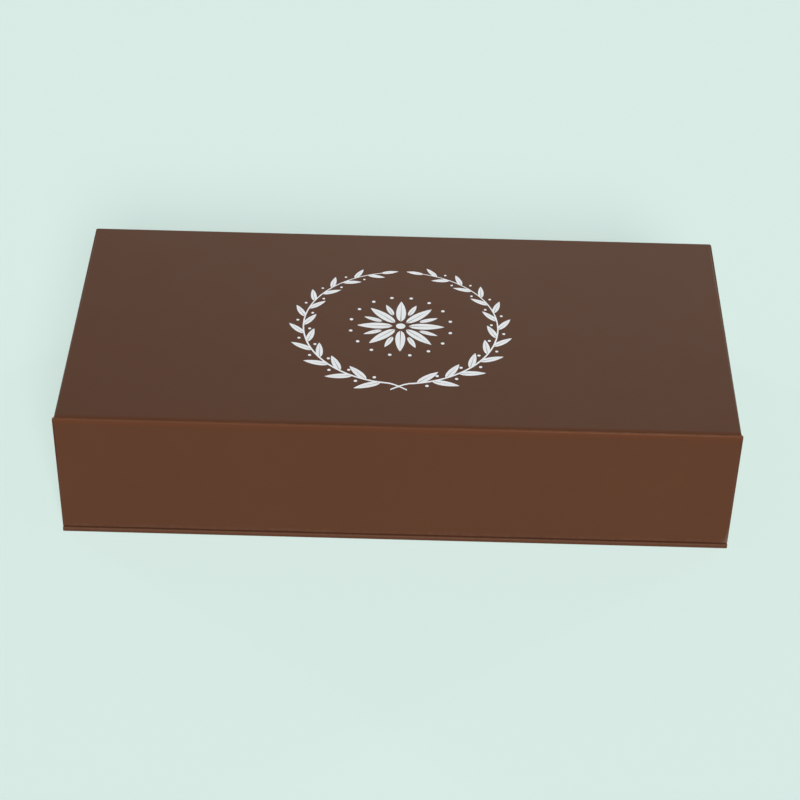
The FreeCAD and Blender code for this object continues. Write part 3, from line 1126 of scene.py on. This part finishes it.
def join(graph, parts):
    """Joins geometries."""
    return graph.add("GeometryNodeJoinGeometry", {"Geometry": list(reversed(parts))})["Geometry"]


def flipped(graph, mesh):
    """Turns faces over."""
    return graph.add("GeometryNodeFlipFaces", {"Mesh": mesh})["Mesh"]


def thickened(graph, flat, offset):
    """Gives a flat mesh a thickness and closes it. Returns it and the selection of its cut edges."""
    sockets = {"Mesh": flat, "Offset": offset, "Offset Scale": 1.0, "Individual": False}
    grown = graph.add("GeometryNodeExtrudeMesh", sockets, mode="FACES")
    return join(graph, [grown["Mesh"], flipped(graph, flat)]), grown["Side"]


def on_points(graph, points, shape, turn=0.0, scale=1.0):
    """Sets a shape on points, each turned and scaled."""
    return graph.add("GeometryNodeInstanceOnPoints", {
        "Points": points, "Instance": shape, "Rotation": graph.vector(0.0, 0.0, turn),
        "Scale": graph.vector(scale, scale, scale),
    })["Instances"]


def realized(graph, instances):
    """Makes instances real."""
    return graph.add("GeometryNodeRealizeInstances", {"Geometry": instances})["Geometry"]


def with_material(graph, geometry, material, selection=True):
    """Sets the material of the selected faces."""
    sockets = {"Geometry": geometry, "Selection": selection, "Material": material}
    return graph.add("GeometryNodeSetMaterial", sockets)["Geometry"]


class CHOCOLATE_BOX_OT_dividers(bpy.types.Operator):
    """Cuts the slotted card dividers and stands them in the tray"""

    bl_idname = "chocolate_box.dividers"
    bl_label = "Dividers"

    def execute(self, context):
        long_cards = named_boxes("long_divider_")
        cross_cards = named_boxes("cross_divider_")
        play = context.scene.box_dividers.slot_play
        for name, cards, others, run, slots_up in (
            ("long_dividers", long_cards, cross_cards, 0, True),
            ("cross_dividers", cross_cards, long_cards, 1, False),
        ):
            mesh = card_row(name, list(cards.values()), list(others.values()), run, slots_up, play)
            add_piece(name, smoothed(mesh), "case", tuple(cards))
        return {"FINISHED"}


def named_boxes(prefix):
    """Returns the boxes of the nodes with a name's start, in order."""
    return {name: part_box(name) for name in sorted(frame["nodes"]) if name.startswith(prefix)}


def middles(boxes, axis):
    """Returns the number of boxes, their first middle along an axis and the pitch of the middles."""
    places = [(low[axis] + high[axis]) / 2 for low, high in boxes]
    return len(places), places[0], (places[-1] - places[0]) / max(1, len(places) - 1)


def card_row(name, cards, others, run, slots_up, play):
    """Returns a row of like cards along X (run 0) or Y (run 1), slotted where the others cross."""
    low, high = cards[0]
    card = high[1 - run] - low[1 - run]
    inputs = {"Start": low[run], "End": high[run], "Foot": low.z, "Height": high.z - low.z, "Card": card}
    inputs["Slots"], inputs["First slot"], inputs["Slot pitch"] = middles(others, run)
    inputs["Cards"], inputs["First card"], inputs["Card pitch"] = middles(cards, 1 - run)
    inputs["Slot width"] = card + play
    graph, given = new_tree(name, inputs)

    def ordered(along, across, up=0.0):
        """Returns X, Y and Z of a place that is given along and across the cards."""
        return (across, along, up) if run else (along, across, up)

    slots = given["Slots"]
    grid, column, row = unit_grid(graph, slots * 2 + 2, 3)
    slot = ((column - 1) / 2).floor()
    side = (column - 1) % 2 - 0.5
    in_slot = given["First slot"] + slot * given["Slot pitch"] + side * given["Slot width"]
    is_start = column < 0.5
    is_end = column > slots * 2 + 0.5
    along = in_slot * (1 - is_start) * (1 - is_end) + given["Start"] * is_start + given["End"] * is_end
    height = given["Foot"] + given["Height"] * row / 2
    sheet = moved(graph, grid, *ordered(along, given["Card"] / -2, height))
    index = point_index(graph)
    cell = (index / 2).floor()
    is_gap = (cell % 2) * ((index % 2 > 0.5) if slots_up else (index % 2 < 0.5))
    sockets = {"Geometry": sheet, "Selection": is_gap}
    cut = graph.add("GeometryNodeDeleteGeometry", sockets, domain="FACE")["Geometry"]
    solid, edges = thickened(graph, cut, graph.vector(*ordered(0.0, given["Card"])))
    line = graph.add("GeometryNodeMeshLine", {
        "Count": given["Cards"],
        "Start Location": graph.vector(*ordered(0.0, given["First card"])),
        "Offset": graph.vector(*ordered(0.0, given["Card pitch"])),
    })["Mesh"]
    gilt = with_material(graph, realized(graph, on_points(graph, line, solid)), finish(gold_card))
    return grown_mesh(graph, inputs, with_material(graph, gilt, finish(card_pulp), edges))


class CHOCOLATE_BOX_OT_lid_print(bpy.types.Operator):
    """Prints a leaf wreath round a rosette on the lid, in white ink"""

    bl_idname = "chocolate_box.lid_print"
    bl_label = "Lid print"

    def execute(self, context):
        sizes = context.scene.box_print
        mesh = smoothed(wreath(sizes))
        middle_y = (FRONT_FOLD[0].y + SPINE[1].y) / 2
        mesh.transform(Matrix.Translation((0, middle_y, LID[1].z - sizes.ink / 2)))
        add_piece("lid_print", mesh, "lid")
        return {"FINISHED"}


# A leaf's outline: its fullness at foot and tip, the factor that brings it to its width, and its vein's taper
LEAF_STEPS = 10
LEAF_FOOT = 0.65
LEAF_TIP = 0.9
LEAF_BULGE = 2.87
VEIN_TAPER = 0.96

# A stem: its steps, the share that flares, how that bends, and how its width, leaves and berries get smaller
STEM_STEPS = 69
FLARE_SHARE = 0.06
FLARE_CURVE = 1.6
STEM_TAPER = 0.6
LEAF_SPAN = 0.93
LEAF_SCALE = 1.06
LEAF_TAPER = 0.42
BERRY_OUT = 3.4
BERRY_AFTER = 0.55
BERRY_TAPER = 0.35
BERRY_SIDES = 16

# The rosette: where its petals start by its radius, and the scales of petals and middle
LONG_START = 0.16
LONG_SCALE = 1.3
SHORT_START = 0.4
SHORT_SCALE = 0.72
MIDDLE_SCALE = 2.6

# Steps into which the ink is layered, so that no two faces lie in one plane
INK_LAYERS = 12


def leaf_half(graph, given, side):
    """Returns one half of a pointed leaf that lies along X."""
    grid, column, row = unit_grid(graph, LEAF_STEPS + 1, 2)
    along = column / LEAF_STEPS
    half = given["leaf_width"] / 2 * LEAF_BULGE * along ** LEAF_FOOT * (1 - along) ** LEAF_TIP
    inner = given["leaf_vein"] / 2 * (1 - along * VEIN_TAPER)
    half_leaf = moved(graph, grid, along * given["leaf_length"], (inner + half * row) * side, 0.0)
    return half_leaf if side > 0 else flipped(graph, half_leaf)


def berry(graph, given):
    """Returns a filled disc."""
    sockets = {"Vertices": BERRY_SIDES, "Radius": given["berry"]}
    return graph.add("GeometryNodeMeshCircle", sockets, fill_type="NGON")["Mesh"]


def on_ring(given, along, way, beside=0.0):
    """Returns the place on a side of the wreath, from its crossed foot to its tip, and the ring's angle."""
    crossing = given["crossing"]
    ring_angle = -QUARTER - crossing * way + (math.pi + crossing - given["top_gap"]) * way * along
    flare = ((FLARE_SHARE - along) / FLARE_SHARE).limited() ** FLARE_CURVE * given["flare"]
    radius = given["radius"] + flare + beside
    return radius * ring_angle.cosine(), radius * ring_angle.sine(), ring_angle


def spray(graph, given, leaf_shape, berry_shape, way):
    """Returns one side of the wreath: a stem with leaves by turns on both sides, and berries."""
    leaves = given["leaves"]
    layer = given["ink"] / INK_LAYERS

    grid, column, row = unit_grid(graph, STEM_STEPS + 1, 2)
    along = column / STEM_STEPS
    x, y, _ = on_ring(given, along, way, (row - 0.5) * given["stem"] * (1 - along * STEM_TAPER))
    stem = moved(graph, grid, x, y, layer * (1 + way) / 2)

    line, index = point_row(graph, leaves)
    along = FLARE_SHARE + LEAF_SPAN * (index + 0.5) / (leaves - 0.5)
    x, y, ring_angle = on_ring(given, along, way)
    is_tip = index > leaves - 1.5
    side = (1 - (index % 2) * 2) * (1 - is_tip)
    points = moved(graph, line, x, y, layer * (2 + index % 2))
    turn = ring_angle + way * QUARTER + side * given["leaf_splay"]
    leaf_row = on_points(graph, points, leaf_shape, turn, LEAF_SCALE - along * LEAF_TAPER)

    line, index = point_row(graph, leaves - 2)
    along = FLARE_SHARE + LEAF_SPAN * (index + 0.5 + BERRY_AFTER) / (leaves - 0.5)
    side = 1 - (index % 2) * 2
    x, y, ring_angle = on_ring(given, along, way, side * way * given["berry"] * BERRY_OUT)
    points = moved(graph, line, x, y, layer * 4)
    berry_row = on_points(graph, points, berry_shape, ring_angle, 1.0 - along * BERRY_TAPER)
    return [stem if way < 0 else flipped(graph, stem), leaf_row, berry_row]


def ray_points(graph, points, radius, offset, height):
    """Returns points round a circle and their angles, the first one turned by a share of the step."""
    line, index = point_row(graph, points)
    ray = (index + offset) / points * (2 * math.pi)
    return moved(graph, line, radius * ray.cosine(), radius * ray.sine(), height), ray


def rosette(graph, given, leaf_shape, berry_shape):
    """Returns a rosette of long and short petals round a dot, inside a ring of dots."""
    petals = given["petals"]
    size = given["rosette"]
    layer = given["ink"] / INK_LAYERS
    rows = (
        (leaf_shape, LONG_SCALE, petals, size * LONG_START, 0.0, layer),
        (leaf_shape, SHORT_SCALE, petals, size * SHORT_START, 0.5, layer * 2),
        (berry_shape, 1.0, petals * 2, size, 0.5, 0.0),
        (berry_shape, MIDDLE_SCALE, 1, 0.0, 0.0, layer * 3),
    )
    parts = []
    for shape, scale, *ring in rows:
        points, turn = ray_points(graph, *ring)
        parts.append(on_points(graph, points, shape, turn, scale))
    return parts


def wreath(sizes):
    """Returns the whole print as one thin closed mesh about the origin."""
    inputs = {name: getattr(sizes, name) for name in PrintSizes.__annotations__}
    graph, given = new_tree("lid print", inputs)
    leaf_shape = join(graph, [leaf_half(graph, given, side) for side in (1, -1)])
    berry_shape = berry(graph, given)
    parts = []
    for way in (1, -1):
        parts += spray(graph, given, leaf_shape, berry_shape, way)
    parts += rosette(graph, given, leaf_shape, berry_shape)
    flat = realized(graph, join(graph, parts))
    solid, _ = thickened(graph, flat, graph.vector(0.0, 0.0, given["ink"]))
    return grown_mesh(graph, inputs, with_material(graph, solid, finish(white_ink)))


class CHOCOLATE_BOX_OT_inner_parts(bpy.types.Operator):
    """Gives boards, corner stays and magnets their finishes"""

    bl_idname = "chocolate_box.inner_parts"
    bl_label = "Inner parts"

    def execute(self, context):
        finishes = {
            "magnet": nickel, "corner_stay": stay_kraft,
            "board": pulp_board, "wall": pulp_board, "tray_floor": pulp_board,
        }
        for name, node in frame["nodes"].items():
            for word, make in finishes.items():
                if word in name:
                    node.data.materials.clear()
                    node.data.materials.append(finish(make))
                    break
        return {"FINISHED"}


class CHOCOLATE_BOX_OT_stage(bpy.types.Operator):
    """Sets up the floor, the light and the camera"""

    bl_idname = "chocolate_box.stage"
    bl_label = "Stage"

    def execute(self, context):
        scene = context.scene
        settings = scene.box_stage
        colours = scene.box_colours
        scene.view_settings.view_transform = "Standard"
        scene.camera = add_camera(settings)
        add_floor(settings)
        add_sun("key light", settings.key, settings.key_turn, settings.key_height, settings.key_softness)
        for name, turn in (("right fill", settings.fill_turn), ("left fill", -settings.fill_turn)):
            add_sun(name, settings.fill, turn, settings.fill_height, settings.fill_softness)
        add_card(settings, colours)
        scene.world = studio_world(settings, colours)
        return {"FINISHED"}


def direction(turn, height):
    """Returns the way from the box to a place, by its turn to the right and its height."""
    level = math.cos(height)
    return Vector((math.sin(turn) * level, -math.cos(turn) * level, math.sin(height)))


def facing(way):
    """Returns the turn of a lamp that shines from a direction."""
    return way.to_track_quat("Z", "Y").to_matrix().to_4x4()


def add_camera(settings):
    """Adds the camera at the photograph's place."""
    back = direction(settings.swing, settings.elevation)
    right = Vector((math.cos(settings.swing), math.sin(settings.swing), 0))
    up = back.cross(right)
    across = math.cos(settings.roll) * right + math.sin(settings.roll) * up
    above = math.cos(settings.roll) * up - math.sin(settings.roll) * right
    camera = add_object("camera", bpy.data.cameras.new("camera"))
    camera.data.lens = settings.lens
    camera.data.clip_end = settings.view_limit
    turn = Matrix((across, above, back)).transposed().to_4x4()
    camera.matrix_world = Matrix.Translation(Vector(settings.aim) + back * settings.distance) @ turn
    return camera


def add_floor(settings):
    """Adds the pale floor under the box."""
    half = settings.floor_size / 2
    corners = [(-half, -half, 0), (half, -half, 0), (half, half, 0), (-half, half, 0)]
    mesh = bpy.data.meshes.new("floor")
    mesh.from_pydata(corners, [], [(0, 1, 2, 3)])
    mesh.transform(Matrix.Translation((0, 0, BASE[0].z - settings.floor_gap)))
    mesh.materials.append(finish(pale_floor))
    add_object("floor", mesh)


def add_sun(name, strength, turn, height, softness):
    """Adds a broad distant light, turned to the right from the front of the box."""
    sun = bpy.data.lights.new(name, "SUN")
    sun.energy = strength
    sun.angle = softness
    add_object(name, sun).matrix_world = facing(direction(turn, height))


def add_card(settings, colours):
    """Adds a white card behind the box, which lights nothing and shows only as sheen on glossy faces."""
    card = bpy.data.lights.new("card", "AREA")
    card.shape = "RECTANGLE"
    card.size = settings.card_width
    card.size_y = settings.card_height
    card.energy = settings.card
    card.color = colours.card
    lamp = add_object("card", card)
    place = Vector((settings.card_shift, settings.card_distance, settings.card_height / 2))
    lamp.matrix_world = Matrix.Translation(place) @ facing(direction(math.pi, 0))
    lamp.visible_camera = False
    lamp.visible_diffuse = False
    lamp.visible_transmission = False


def studio_world(settings, colours):
    """Returns a world that lights the box from all round, and shows the backdrop and its reflections."""
    world = bpy.data.worlds.new("studio")
    world.use_nodes = True
    graph = Graph(world.node_tree)
    light, seen = (
        graph.add("ShaderNodeBackground", {"Color": tint, "Strength": strength})["Background"]
        for tint, strength in (((1, 1, 1, 1), settings.ambient), (shaded(colours.backdrop), 1.0))
    )
    graph.add("ShaderNodeOutputWorld", {"Surface": graph.mix_shaders(graph.seen_rays(), light, seen)})
    return world


class CHOCOLATE_BOX_PT_sidebar(bpy.types.Panel):
    """Lists the steps that dress the box"""

    bl_idname = "CHOCOLATE_BOX_PT_sidebar"
    bl_label = "Chocolate box"
    bl_space_type = "VIEW_3D"
    bl_region_type = "UI"
    bl_category = "Chocolate box"

    def draw(self, context):
        for step in STEPS:
            self.layout.operator(step.bl_idname)
        for name, group in SETTINGS.items():
            column = self.layout.column(heading=name)
            for key in group.__annotations__:
                column.prop(getattr(context.scene, name), key)


SETTINGS = {
    "box_covers": CoverSizes,
    "box_linings": LiningSizes,
    "box_tray": TraySizes,
    "box_dividers": DividerSizes,
    "box_print": PrintSizes,
    "box_colours": BoxColours,
    "box_stage": StageSettings,
}

STEPS = (
    CHOCOLATE_BOX_OT_case_covers,
    CHOCOLATE_BOX_OT_linings,
    CHOCOLATE_BOX_OT_tray,
    CHOCOLATE_BOX_OT_dividers,
    CHOCOLATE_BOX_OT_lid_print,
    CHOCOLATE_BOX_OT_inner_parts,
    CHOCOLATE_BOX_OT_stage,
)

CLASSES = (*SETTINGS.values(), *STEPS, CHOCOLATE_BOX_PT_sidebar)


def register():
    """Registers the classes and hangs the settings on the scene."""
    for item in CLASSES:
        bpy.utils.register_class(item)
    for name, group in SETTINGS.items():
        setattr(bpy.types.Scene, name, PointerProperty(type=group))


def unregister():
    """Takes everything off again."""
    for name in SETTINGS:
        delattr(bpy.types.Scene, name)
    for item in reversed(CLASSES):
        bpy.utils.unregister_class(item)


def main():
    """Dresses the box."""
    register()
    bpy.ops.chocolate_box.case_covers()
    bpy.ops.chocolate_box.linings()
    bpy.ops.chocolate_box.tray()
    bpy.ops.chocolate_box.dividers()
    bpy.ops.chocolate_box.lid_print()
    bpy.ops.chocolate_box.inner_parts()
    bpy.ops.chocolate_box.stage()


if __name__ == "__main__":
    main()
